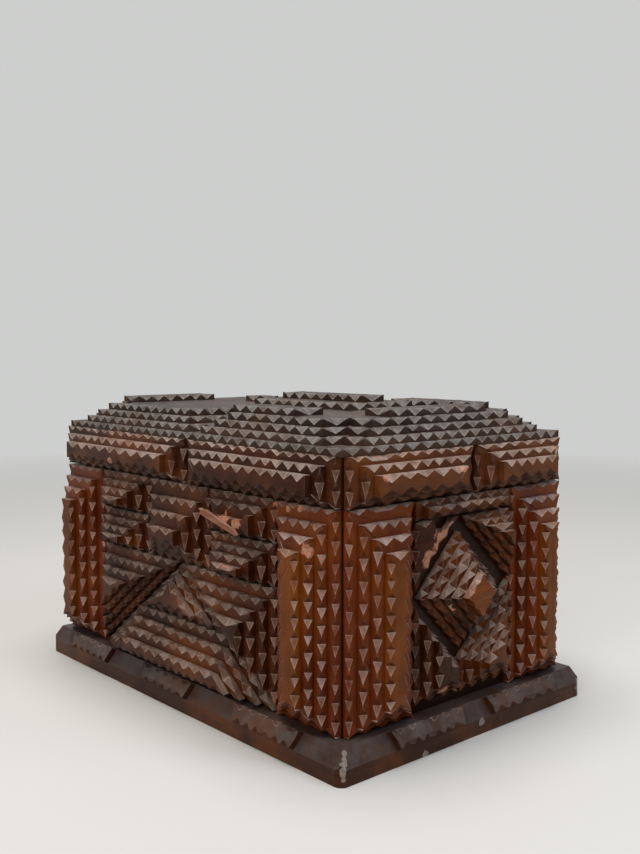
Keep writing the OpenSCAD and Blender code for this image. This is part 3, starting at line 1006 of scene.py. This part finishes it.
class WoodShader:
    """Shader of one kind of old wood, built in steps from noises that the steps share."""

    def __init__(self, name: str, look: WoodLook) -> None:
        """Makes the material, its noises and its mesh layers.

        Args:
            name: The material's name.
            look: The wood's colours and patches.
        """
        self.look = look
        self.material = bpy.data.materials.new(name)
        n = self.nodes = Nodes(self.material)
        coords = n.add("ShaderNodeTexCoord")
        self.place = coords.outputs["Object"]
        self.up = n.parts(coords.outputs["Normal"])[2]
        self.board: Value = 0.5
        if look.carved:
            grain_at = n.scaled(n.add("ShaderNodeUVMap", uv_map="grain").outputs["UV"], D.grain_on_uv)
            self.board, self.wear, self.fresh = n.layer("tone")
        else:
            grain_at = n.scaled(self.place, D.grain_on_place)
        self.grain = n.noise(grain_at, *D.grain)
        self.figure = n.noise(n.scaled(grain_at, D.figure_stretch), *D.figure)
        self.blotch, self.stain, self.speck, self.fine = (
            n.noise(self.place, *noise) for noise in (D.blotch, D.stain, D.speck, D.fine)
        )

    def build(self) -> Material:
        """Joins the steps into one surface.

        Returns:
            The material.
        """
        n, look = self.nodes, self.look
        colour = self._dusted(self._wood())
        spread = D.gloss_spread
        rough = n.span(self.fine, *D.gloss, look.rough - spread[0], look.rough + spread[1])
        if look.carved:
            colour = self._edged(colour)
        if look.carved or look.patches:
            bare = self._bare()
            raw = n.mix(n.span(self.fine, *D.raw_grain), look.raw, look.worn)
            colour = n.mix(n.times(bare, D.raw_amount), colour, raw)
            rough = n.plus(rough, n.times(bare, D.raw_rough))
        noises = (self.grain, self.stain, self.fine)
        height = n.plus(*(n.times(noise, share) for noise, share in zip(noises, D.relief)))
        shine = {"Specular_IOR_Level": D.specular, "Specular_Tint": D.specular_tint}
        n.surface(height, D.bump, Base_Color=colour, Roughness=rough, **shine)
        return self.material

    def _wood(self) -> Socket:
        """Lays the grain between the dark and the light colour, with amber flecks.

        Returns:
            The colour.
        """
        n, look = self.nodes, self.look
        mixed = n.plus(
            n.times(self.grain, D.grain_share),
            n.times(self.figure, D.grain_share),
            n.centred(self.blotch),
            n.times(n.centred(self.board), D.board_share),
        )
        colour = n.mix(n.span(mixed, *D.lightness), look.dark, look.light)
        flecks = n.times(n.span(self.blotch, *D.amber_blotch), n.span(self.grain, *D.amber_grain))
        return n.mix(n.times(flecks, look.amber_amount), colour, look.amber)

    def _dusted(self, colour: Socket) -> Socket:
        """Paints shade on what faces down, lays dust and a painted sheen on what faces up, and paints shade
        on the walls' outer faces, which show in the gaps between the boards.

        Args:
            colour: The colour so far.

        Returns:
            The new colour.
        """
        n, look = self.nodes, self.look
        # Painted shade on faces that turn down.
        under = n.times(n.span(self.up, *D.under_up), n.span(self.stain, *D.under_stain), D.under_amount)
        colour = n.mix(under, colour, look.under)
        # Dust and a painted sheen on faces that turn up.
        dust = n.times(
            n.span(self.up, *D.dust_up),
            n.span(self.stain, *D.dust_stain),
            n.span(self.speck, *D.dust_speck),
            look.dust_amount,
            n.span(self.up, *D.flat_up, 1.0, look.flat_dust),
        )
        colour = n.mix(dust, colour, look.dust)
        # Painted shade on the walls' outer faces, which show in the gaps between the boards.
        if look.stained_outside:
            x, y, _ = n.parts(self.place)
            reach = [
                n.math("DIVIDE", n.math("ABSOLUTE", part), (half - S.layer_t) * MM)
                for part, half in ((x, S.half_w), (y, S.half_d))
            ]
            colour = n.mix(n.span(n.math("MAXIMUM", *reach), *D.outside), colour, D.outside_stain)
        return colour

    def _edged(self, colour: Socket) -> Socket:
        """Draws lines of wear and painted highlight along the chips' edges and on the tips of the teeth, the
        edge lines brighter where the face turns up.

        Args:
            colour: The colour so far.

        Returns:
            The new colour.
        """
        n, amount = self.nodes, self.look.line_amount
        first, second, third = n.layer("line")
        near = n.math("MINIMUM", n.math("MINIMUM", first, second), third)
        # Wear and painted highlight along the chips' edges, brighter where the face turns up.
        line = n.times(
            n.span(near, *D.line_width),
            n.span(self.speck, *D.line_speck),
            n.span(self.up, *D.line_up, D.line_below * amount, amount),
        )
        # Wear and painted highlight on the teeth's tips.
        worn = n.times(n.math("POWER", self.wear, D.wear_power), n.span(self.speck, *D.wear_speck))
        return n.mix(n.math("MAXIMUM", n.times(worn, D.wear_amount), line), colour, self.look.worn)

    def _bare(self) -> Value:
        """Finds where raw wood shows: on broken teeth and in the worn patches.

        Returns:
            1 where it shows and 0 elsewhere.
        """
        n = self.nodes
        bare: Value = 0.0
        if self.look.carved:
            broken = n.plus(self.fresh, n.times(n.centred(self.speck), D.broken_speck))
            bare = n.times(n.span(broken, *D.broken), n.span(self.fresh, *D.fresh))
        for patch in self.look.patches:
            apart = n.vector("DISTANCE", self.place, (patch.x * MM, patch.y * MM, patch.z * MM))
            far = n.times(apart, MM_PER_M / patch.radius)
            far = n.plus(far, n.times(n.centred(self.speck), D.patch_speck))
            bare = n.math("MAXIMUM", bare, n.span(far, *D.patch_edge))
        return bare


@dataclass(frozen=True)
class BrassLook:
    """Tarnished brass of the hinges."""

    dark: Colour = (0.20, 0.13, 0.06)
    light: Colour = (0.50, 0.36, 0.16)
    tarnish: Mask = (260.0, 4.0, 0.6)
    tarnish_mask: Mask = (0.35, 0.65)
    rough_mask: Mask = (0.3, 0.7, 0.55, 0.32)
    grit_scale: float = 1500.0
    bump: Range = (0.2, 0.0002)

    def build(self) -> Material:
        """Makes the material.

        Returns:
            The material.
        """
        material = bpy.data.materials.new("tarnished_brass")
        n = Nodes(material)
        place = n.add("ShaderNodeTexCoord").outputs["Object"]
        blotch = n.noise(place, *self.tarnish)
        colour = n.mix(n.span(blotch, *self.tarnish_mask), self.dark, self.light)
        rough = n.span(blotch, *self.rough_mask)
        grit = n.noise(place, self.grit_scale)
        n.surface(grit, self.bump, Base_Color=colour, Roughness=rough, Metallic=1.0)
        return material


def patches(*rows: tuple[float, float, float, float]) -> tuple[Patch, ...]:
    """Worn patches from rows of place and radius."""
    return tuple(Patch(*row) for row in rows)


FRONT_PATCHES = patches(
    (107.0, -86.2, 98.0, 3.2),
    (46.0, -86.4, 104.3, 4.6),
    (57.0, -86.4, 103.6, 3.6),
    (37.0, -89.0, 79.9, 2.6),
    (77.0, -79.5, 113.3, 2.0),
    (86.0, -79.5, 113.0, 1.8),
    (94.5, -79.5, 113.9, 2.0),
    (76.5, -84.0, 38.0, 3.4),
)
SIDE_PATCHES = patches(
    (121.8, -15.0, 94.5, 6.6),
    (121.8, -22.5, 87.5, 5.6),
    (121.8, -9.0, 100.0, 4.2),
    (125.0, -18.0, 25.0, 3.4),
    (126.5, 27.7, 30.9, 1.8),
    (126.5, 60.1, 29.9, 1.6),
    (121.8, -37.5, 98.5, 2.2),
)
RIM_PATCHES = patches(
    (109.2, -89.8, 131.1, 2.4),
    (123.3, -81.5, 118.7, 2.6),
    (129.0, -58.7, 129.5, 2.4),
    (129.0, -8.8, 129.5, 2.2),
    (129.0, 15.5, 129.0, 2.2),
    (125.0, -83.1, 142.0, 2.2),
    (-92.0, -88.5, 129.0, 2.4),
    (-60.0, -86.0, 122.5, 2.2),
    (-40.0, 88.0, 128.0, 2.4),
)
PLINTH_PATCHES = patches(
    (126.8, -82.3, 13.2, 1.5),
    (127.8, -83.3, 11.4, 1.5),
    (128.8, -84.4, 9.6, 1.6),
    (129.9, -85.4, 7.8, 1.7),
    (130.3, -85.7, 5.6, 1.7),
    (130.3, -85.7, 3.4, 1.6),
    (130.3, 5.0, 6.0, 2.2),
    (129.0, 86.0, 6.0, 3.4),
    (130.3, -35.0, 1.0, 2.0),
)
FACE_PATCHES = FRONT_PATCHES + SIDE_PATCHES
LOOKS = {
    "post": WoodLook(
        (0.048, 0.0076, 0.0013),
        (0.148, 0.0285, 0.0065),
        (0.365, 0.275, 0.240),
        patches=FACE_PATCHES,
    ),
    "plateau": WoodLook(
        (0.070, 0.0160, 0.0018),
        (0.185, 0.0480, 0.0055),
        (0.330, 0.240, 0.205),
        patches=FACE_PATCHES,
    ),
    "panel": WoodLook(
        (0.016, 0.0036, 0.0012),
        (0.070, 0.0165, 0.0050),
        (0.235, 0.170, 0.138),
        under=(0.013, 0.0026, 0.0008),
        patches=FACE_PATCHES,
    ),
    "splinter": WoodLook(
        (0.13, 0.045, 0.024),
        (0.40, 0.170, 0.105),
        (0.42, 0.26, 0.19),
        under=(0.10, 0.030, 0.012),
        amber_amount=0.0,
    ),
    "rim": WoodLook(
        (0.022, 0.0058, 0.0026),
        (0.086, 0.0245, 0.0100),
        (0.265, 0.210, 0.180),
        under=(0.012, 0.0026, 0.0008),
        amber=(0.165, 0.052, 0.012),
        patches=RIM_PATCHES,
    ),
    # Greyish from its dust and from a painted reflection of the pale surroundings.
    "lid": WoodLook(
        (0.013, 0.0076, 0.0054),
        (0.050, 0.0290, 0.0200),
        (0.138, 0.131, 0.124),
        under=(0.010, 0.0042, 0.0026),
        worn=(0.40, 0.37, 0.34),
        line_amount=0.28,
        amber_amount=0.12,
        flat_dust=0.34,
        rough=0.5,
    ),
    "plinth": WoodLook(
        (0.020, 0.0082, 0.0052),
        (0.062, 0.0240, 0.0140),
        (0.066, 0.0540, 0.0520),
        raw=(0.20, 0.16, 0.14),
        worn=(0.28, 0.23, 0.20),
        carved=False,
        patches=PLINTH_PATCHES,
    ),
    "plinth_bar": WoodLook((0.018, 0.0072, 0.0044), (0.056, 0.0215, 0.0125), (0.092, 0.076, 0.070)),
    "plain": WoodLook(
        (0.036, 0.013, 0.006),
        (0.135, 0.055, 0.026),
        (0.11, 0.085, 0.075),
        dust_amount=0.2,
        carved=False,
        stained_outside=True,
    ),
}


@dataclass
class Palette:
    """All materials of the box."""

    post: Material
    plateau: Material
    panel: Material
    splinter: Material
    rim: Material
    lid: Material
    plinth: Material
    plinth_bar: Material
    plain: Material
    brass: Material

    @classmethod
    def make(cls) -> "Palette":
        """Builds every material once."""
        woods = {name: WoodShader(f"{name}_wood", look).build() for name, look in LOOKS.items()}
        return cls(brass=BrassLook().build(), **woods)


# ------------------------------------------------------------------- pieces


@dataclass
class CarvedFace:
    """One side of the box: its stacks of boards, one piece for each level."""

    face: Face
    stacks: list[Stack]
    seed: int
    palette: Palette
    foot_chips: Chips = Chips(inward=2.3)
    diamond_top_chips: Chips = Chips(pitch=5.2, inward=1.1, down=2.6)
    break_level: int = 3
    splinter_level: int = 4
    splinter_ends: tuple[Point2, Point2] = ((29.2, 90.9), (59.0, 82.6))
    splinter_half: float = 1.7
    splinter_heights: Range = (10.9, 12.6)
    splinter_tilt: float = 0.5

    def build(self) -> None:
        """Makes the piece of each level."""
        for level in range(1, max(stack.count for stack in self.stacks) + 1):
            mesh = BoardMesh(f"{self.face.value}_boards_{level}", self.seed + level)
            for stack in self.stacks:
                if level <= stack.count:
                    self._board(mesh, stack, level)
            if self.face is Face.FRONT and level == self.splinter_level:
                self._splinter(mesh)
            self.dress(mesh, level)

    def dress(self, mesh: BoardMesh, level: int) -> None:
        """Gives a piece its finishes and its CAD node.

        Args:
            mesh: The piece's mesh.
            level: Its level.
        """
        finishes = [getattr(self.palette, finish.name.lower()) for finish in Finish]
        mesh.write(finishes, Body.BOX, Slot.CARVED, f"{self.face.value}_layer_{level}")

    def _board(self, mesh: BoardMesh, stack: Stack, level: int) -> None:
        """Adds one board of a stack, without what has broken off in the photograph.

        Args:
            mesh: The piece's mesh.
            stack: The stack.
            level: The board's level.
        """
        outline = self._damaged(stack, level)
        if not outline:
            return
        upright, top = stack.kind is Kind.POST, level == stack.count
        mesh.finish = Finish.POST if upright else Finish.PANEL
        if top and stack.kind in (Kind.POST, Kind.DIAMOND):
            mesh.finish = Finish.PLATEAU
        chips = Chips()
        if upright and level == 1:
            chips = self.foot_chips
        elif top and stack.kind is Kind.DIAMOND:
            chips = self.diamond_top_chips
        low = (level - 1) * S.layer_t
        turn = math.pi / 2 if upright else 0.0
        Board(mesh, outline, low, low + S.layer_t, mapper(self.face), chips, turn).build()

    def _damaged(self, stack: Stack, level: int) -> Outline:
        """Outline of a board with its broken edge.

        Args:
            stack: The stack.
            level: The board's level.

        Returns:
            The outline, which is empty where the board is lost.
        """
        outline = stack.board(level)
        if self.face is Face.FRONT and stack.kind is Kind.BROKEN_BLOCK and level >= self.break_level:
            if level == stack.count:
                return []
            (x0, low), (x1, high) = outline[0], outline[2]
            break_line = [(x1 - 3.0, high), (x1 - 4.6, 89.6), (53.0, 89.0), (41.0, 89.5), (x0, 88.8)]
            return [(x0, low), (x1, low), (x1, high)] + break_line
        if self.face is Face.RIGHT and stack.kind is Kind.BITTEN_CORNER:
            if level > 1:
                return []
            top = outline[0][1]
            bite = [(-9.2, 87.0), (-12.5, 84.6), (-16.0, 85.6), (-19.0, 84.9), (-20.5, 88.0)]
            return outline + [(-8.0, top), *bite, (-21.0, top)]
        return outline

    def _splinter(self, mesh: BoardMesh) -> None:
        """Adds the lath that has come loose over the broken block.

        Args:
            mesh: The piece's mesh.
        """
        mesh.finish = Finish.SPLINTER
        a, b = (Vector(end) for end in self.splinter_ends)
        along = (b - a).normalized()
        across = Vector((-along.y, along.x)) * self.splinter_half
        # Each corner starts from one end and moves across and along the lath.
        corners = [
            (a, -0.9, 0.0), (b, -0.8, -1.5), (b, -0.1, 0.0), (b, 0.7, -3.0),
            (a, 1.0, 4.5), (a, 0.4, 2.0), (a, 0.5, 0.0), (a, -0.2, 1.8),
        ]
        spots = [end + across * s + along * t for end, s, t in corners]
        outline = [(p.x, p.y) for p in spots]
        low, high = self.splinter_heights
        Board(mesh, outline, low, high, mapper(self.face), NO_CHIPS, tilt=self.splinter_tilt).build()


@dataclass
class LidRim:
    """The bars round the lid's rim, one piece for each side and level."""

    palette: Palette
    seed: int = 700
    seeds_per_side: int = 10
    chips: Chips = Chips(pitch=8.4, inward=3.4)
    foot_inward: float = 2.5
    long_split: float = 4.0
    short_split: float = 8.0

    def build(self) -> None:
        """Makes the pieces of all four sides."""
        gap = S.post_gap
        short = rim_bars(-S.half_d + gap, S.half_d - S.side_lap, self.short_split)
        sides = {
            Face.FRONT: rim_bars(-S.half_w + S.front_lap, S.half_w - gap, self.long_split),
            Face.BACK: rim_bars(-S.half_w + gap, S.half_w - gap, self.long_split),
            Face.RIGHT: short,
            Face.LEFT: short,
        }
        for number, (face, stacks) in enumerate(sides.items()):
            for level in range(1, stacks[0].count + 1):
                self._level(face, stacks, level, self.seed + self.seeds_per_side * number + level)

    def _level(self, face: Face, stacks: list[Stack], level: int, seed: int) -> None:
        """Makes the piece of one level.

        Args:
            face: The side.
            stacks: Its bars.
            level: The level.
            seed: The piece's seed.
        """
        mesh = BoardMesh(f"rim_{face.value}_boards_{level}", seed)
        low = (level - 1) * S.layer_t
        chips = replace(self.chips, inward=self.foot_inward) if level == 1 else self.chips
        for stack in stacks:
            Board(mesh, stack.board(level), low, low + S.layer_t, mapper(face), chips).build()
        mesh.write([self.palette.rim], Body.LID, Slot.CARVED, f"rim_{face.value}_{level}")


@dataclass
class LidTop:
    """The cover board, the two stepped halves, the centre board and the single bars."""

    palette: Palette
    chips: Chips = Chips(pitch=8.6, inward=3.9, down=3.4, skew=0.0)
    cover_inward: float = 2.8
    course_steps: tuple[float, ...] = (S.course_step, 5, 6.6, S.course_step, 6.6, 5, S.course_step, 6)
    courses: int = 3
    back_bar: Range = (30, 86)
    front_bar: Range = (23, 71)
    left_bar: Range = (-50, 5)
    right_bar: Range = (-33, 36)
    short_block: tuple[float, ...] = (-59, 8, -45, 22)
    centre: tuple[float, ...] = (-24, -12, 56, 34)
    centre_bar: tuple[float, ...] = (-16, 2, 50, 18)
    cover_seed: int = 800
    course_seeds: tuple[tuple[str, int], ...] = (("left", 815), ("right", 810))
    bar_seed: int = 830

    def build(self) -> None:
        """Makes all pieces of the lid's top."""
        w, d = S.half_w - S.cover_inset, S.half_d - S.cover_inset
        self._piece("cover_board", self.cover_seed, "lid_cover", 0, [rect(-w, -d, w, d)])
        for side, seed in self.course_seeds:
            self._half(side, seed)
        above = self.courses + 1
        y, x = S.half_d - above * S.course_step, S.half_w - above * S.course_step
        bars = [
            rect(self.back_bar[0], y - S.bar_d, self.back_bar[1], y),
            rect(self.front_bar[0], -y, self.front_bar[1], -y + S.bar_d),
            rect(-x, self.left_bar[0], -x + S.bar_w, self.left_bar[1]),
            rect(x - S.bar_w, self.right_bar[0], x, self.right_bar[1]),
            rect(*self.short_block),
        ]
        pieces = (
            ("lid_top_bars", above, bars),
            ("lid_centre", above, [rect(*self.centre)]),
            ("lid_centre_bar", above + 1, [rect(*self.centre_bar)]),
        )
        for number, (node, level, outlines) in enumerate(pieces):
            self._piece(f"{node}_boards", self.bar_seed + number, node, level, outlines)

    def _piece(self, name: str, seed: int, node: str, level: int, outlines: list[Outline]) -> None:
        """Makes one piece of boards that lie at the same level.

        Args:
            name: The piece's name.
            seed: Its seed.
            node: The CAD node that it replaces.
            level: The boards' level, 0 being the cover board's.
            outlines: The boards' outlines.
        """
        mesh = BoardMesh(name, seed)
        chips = replace(self.chips, inward=self.cover_inward) if level == 0 else self.chips
        for outline in outlines:
            Board(mesh, outline, level * S.layer_t, (level + 1) * S.layer_t, mapper(Face.TOP), chips).build()
        mesh.write([self.palette.lid], Body.LID, Slot.DUSTY, node)

    def _half(self, side: str, seed: int) -> None:
        """Makes the stepped courses of one half of the lid.

        Args:
            side: "left" or "right".
            seed: The seed before the first course's.
        """
        x0 = S.valley_w / 2 + (S.valley_x if side == "right" else -S.valley_x)
        for level in range(1, self.courses + 1):
            steps = [s * (level - 1) for s in self.course_steps]
            outline = inset(half_course(x0, S.half_w - S.course_step), steps)
            if side == "left":
                outline = [(-x, y) for x, y in reversed(outline)]
            self._piece(f"{side}_course_{level}", seed + level, f"lid_{side}_{level}", level, [outline])


@dataclass
class PlinthBars:
    """The small carved bars on the plinth's bevel."""

    palette: Palette
    seed: int = 850
    chips: Chips = Chips(pitch=7.2, inward=2.6, down=2.6)
    # Middle and length of each bar.
    long_bars: tuple[Range, ...] = ((-83, 44), (-5, 45), (78, 48))
    short_bars: tuple[Range, ...] = ((-32, 48), (37, 54))
    end_slant: float = 2.6
    end_notches: Range = (0.8, 0.4)
    margin: float = 0.3

    def build(self) -> None:
        """Makes the bars of all four sides as one piece."""
        mesh = BoardMesh("plinth_bar_boards", self.seed)
        low, high = self.margin, math.hypot(S.bevel_out, S.bevel_h) - self.margin
        cut = self.end_slant
        left, right = (share * cut for share in self.end_notches)
        for turn in range(4):
            half, bars = (S.half_w, self.short_bars) if turn % 2 else (S.half_d, self.long_bars)
            for middle, length in bars:
                a, b = middle - length / 2, middle + length / 2
                foot, top = [(a + cut, low), (b - cut, low)], [(b, high), (a, high)]
                outline = [*foot, (b - right, high / 2), *top, (a + left, high / 2)]
                Board(mesh, outline, 0, S.bar_t, partial(self._on_bevel, half, turn), self.chips).build()
        mesh.write([self.palette.plinth_bar], Body.BOX, Slot.PLINTH, "plinth_bars")

    @staticmethod
    def _on_bevel(half: float, turn: int, u: float, v: float, w: float) -> Vector:
        """Place of a spot on the bevel of one side.

        Args:
            half: Distance of the side's first layer from the middle.
            turn: The side: 0 front, 1 right, 2 back, 3 left.
            u: Millimetres along the side.
            v: Millimetres up the bevel.
            w: Millimetres out of it.

        Returns:
            The place in metres.
        """
        rise = math.atan2(S.bevel_h, S.bevel_out)
        out = half + S.plinth_out - math.cos(rise) * v + math.sin(rise) * w
        z = S.plinth_h - S.bevel_h + math.sin(rise) * v + math.cos(rise) * w
        x, y = ((u, -out), (out, u), (u, out), (-out, u))[turn]
        return Vector((x, y, z)) * MM


@dataclass
class PlainParts:
    """The CAD nodes that stay as they are: plinth, walls, inner boards and hinges."""

    frame: dict[str, dict]
    palette: Palette

    def dress(self) -> None:
        """Gives each node its material."""
        for name, node in self.frame["nodes"].items():
            if name.startswith("hinge"):
                material = self.palette.brass
            elif name.startswith("plinth"):
                material = self.palette.plinth
            else:
                material = self.palette.plain
            node.data.materials.clear()
            node.data.materials.append(material)
            LOG.info("dressed %s", name)


# ------------------------------------------------------------------- studio


@dataclass(frozen=True)
class Lamp:
    """A round area lamp: its name, place and size in metres, power in watts, and colour."""

    name: str
    place: Point3
    size: float
    watts: float
    colour: Colour


@dataclass
class Studio:
    """Floor, lights and camera, in metres apart from the camera's place."""

    camera_at: Point3 = (424.1, -358.9, 183.2)
    ahead: Point2 = (-0.749, 0.663)
    pitch: float = math.radians(4.378)
    focus_px: float = 985.76
    photo_px: float = 854.0
    sensor: float = 36.0
    clip_start: float = 0.01
    surroundings: Colour = (0.72, 0.73, 0.72)
    seen: float = 0.85
    ambient: float = 0.20
    floor_half: float = 6.0
    floor_dark: Colour = (0.50, 0.485, 0.46)
    floor_light: Colour = (0.53, 0.515, 0.49)
    floor_noise: float = 3.0
    floor_rough: float = 0.6
    floor_fade: Range = (0.45, 1.3)
    aim: Point3 = (0.0, 0.0, 0.08)
    lamps: tuple[Lamp, ...] = (
        Lamp("overhead", (0.0, -0.1, 1.5), 1.1, 27.0, (1.0, 0.98, 0.96)),
        Lamp("window_front", (0.7, -1.35, 0.85), 0.75, 11.0, (1.0, 0.97, 0.93)),
        Lamp("window_right", (1.1, 0.45, 1.15), 0.8, 8.0, (0.66, 0.81, 1.0)),
    )

    def build(self) -> None:
        """Makes the whole studio."""
        self._camera()
        self._floor()
        for lamp in self.lamps:
            self._lamp(lamp)
        self._world()

    def _camera(self) -> None:
        """Makes the camera that was solved from the box's own edges in the photograph."""
        data = bpy.data.cameras.new("camera")
        data.sensor_fit = "VERTICAL"
        data.sensor_height = self.sensor
        data.lens = self.focus_px * self.sensor / self.photo_px
        data.clip_start = self.clip_start
        camera = bpy.data.objects.new("camera", data)
        camera.location = Vector(self.camera_at) * MM
        length = math.hypot(*self.ahead)
        x, y = (part / length * math.cos(self.pitch) for part in self.ahead)
        view = Vector((x, y, -math.sin(self.pitch)))
        camera.rotation_euler = view.to_track_quat("-Z", "Y").to_euler()
        bpy.context.scene.collection.objects.link(camera)
        bpy.context.scene.camera = camera

    def _floor(self) -> None:
        """Makes a pale floor that melts into the background far from the box."""
        bm = bmesh.new()
        half = self.floor_half
        bm.faces.new([bm.verts.new((x, y, 0.0)) for x, y in rect(-half, -half, half, half)])
        mesh = bpy.data.meshes.new("floor")
        bm.to_mesh(mesh)
        bm.free()
        mesh.materials.append(self._floor_material())
        floor = bpy.data.objects.new("floor", mesh)
        bpy.context.scene.collection.objects.link(floor)
        floor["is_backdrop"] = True

    def _floor_material(self) -> Material:
        """Mixes the floor's surface with the background's glow, where it is seen and far away.

        Returns:
            The material.
        """
        material = bpy.data.materials.new("floor")
        n = Nodes(material)
        place = n.add("ShaderNodeTexCoord").outputs["Object"]
        colour = n.mix(n.noise(place, self.floor_noise), self.floor_dark, self.floor_light)
        shader = n.add("ShaderNodeBsdfPrincipled", {"Base Color": colour, "Roughness": self.floor_rough})
        glow = n.add("ShaderNodeEmission", {"Color": self.surroundings, "Strength": self.seen})
        far = n.span(n.vector("LENGTH", place), *self.floor_fade)
        mixed = {0: n.times(n.seen(), far), 1: shader.outputs["BSDF"], 2: glow.outputs["Emission"]}
        n.output(n.add("ShaderNodeMixShader", mixed).outputs["Shader"])
        return material

    def _lamp(self, lamp: Lamp) -> None:
        """Hangs one lamp and turns it to the box.

        Args:
            lamp: The lamp.
        """
        data = bpy.data.lights.new(lamp.name, "AREA")
        data.shape = "DISK"
        data.size = lamp.size
        data.energy = lamp.watts
        data.color = lamp.colour
        light = bpy.data.objects.new(lamp.name, data)
        light.location = lamp.place
        view = Vector(self.aim) - Vector(lamp.place)
        light.rotation_euler = view.to_track_quat("-Z", "Y").to_euler()
        bpy.context.scene.collection.objects.link(light)

    def _world(self) -> None:
        """Makes pale surroundings where they are seen, and a weaker light on everything else."""
        world = bpy.data.worlds.new("world")
        n = Nodes(world)
        strength = n.span(n.seen(), 0.0, 1.0, self.ambient, self.seen)
        background = n.add("ShaderNodeBackground", {"Color": self.surroundings, "Strength": strength})
        n.add("ShaderNodeOutputWorld", {"Surface": background.outputs["Background"]})
        bpy.context.scene.world = world
        bpy.context.scene.view_settings.view_transform = "Standard"


def main() -> None:
    """Loads the frame, dresses it and sets the studio."""
    logging.basicConfig(level=logging.INFO)
    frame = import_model()
    cad_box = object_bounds()
    LIMITS.extend(Vector(corner) for corner in cad_box)
    Studio().build()
    palette = Palette.make()
    gap = S.post_gap
    sides = short_face(-S.half_d + gap, S.half_d - S.side_lap)
    faces = {
        Face.FRONT: long_face(-S.half_w + S.front_lap, S.half_w - gap),
        Face.BACK: long_face(-S.half_w + gap, S.half_w - gap),
        Face.RIGHT: sides,
        Face.LEFT: sides,
    }
    for number, (face, stacks) in enumerate(faces.items()):
        CarvedFace(face, stacks, SEEDS_PER_FACE * number, palette).build()
    LidRim(palette).build()
    LidTop(palette).build()
    PlinthBars(palette).build()
    PlainParts(frame, palette).dress()
    LOG.info("box dressed")


if __name__ == "__main__":
    main()
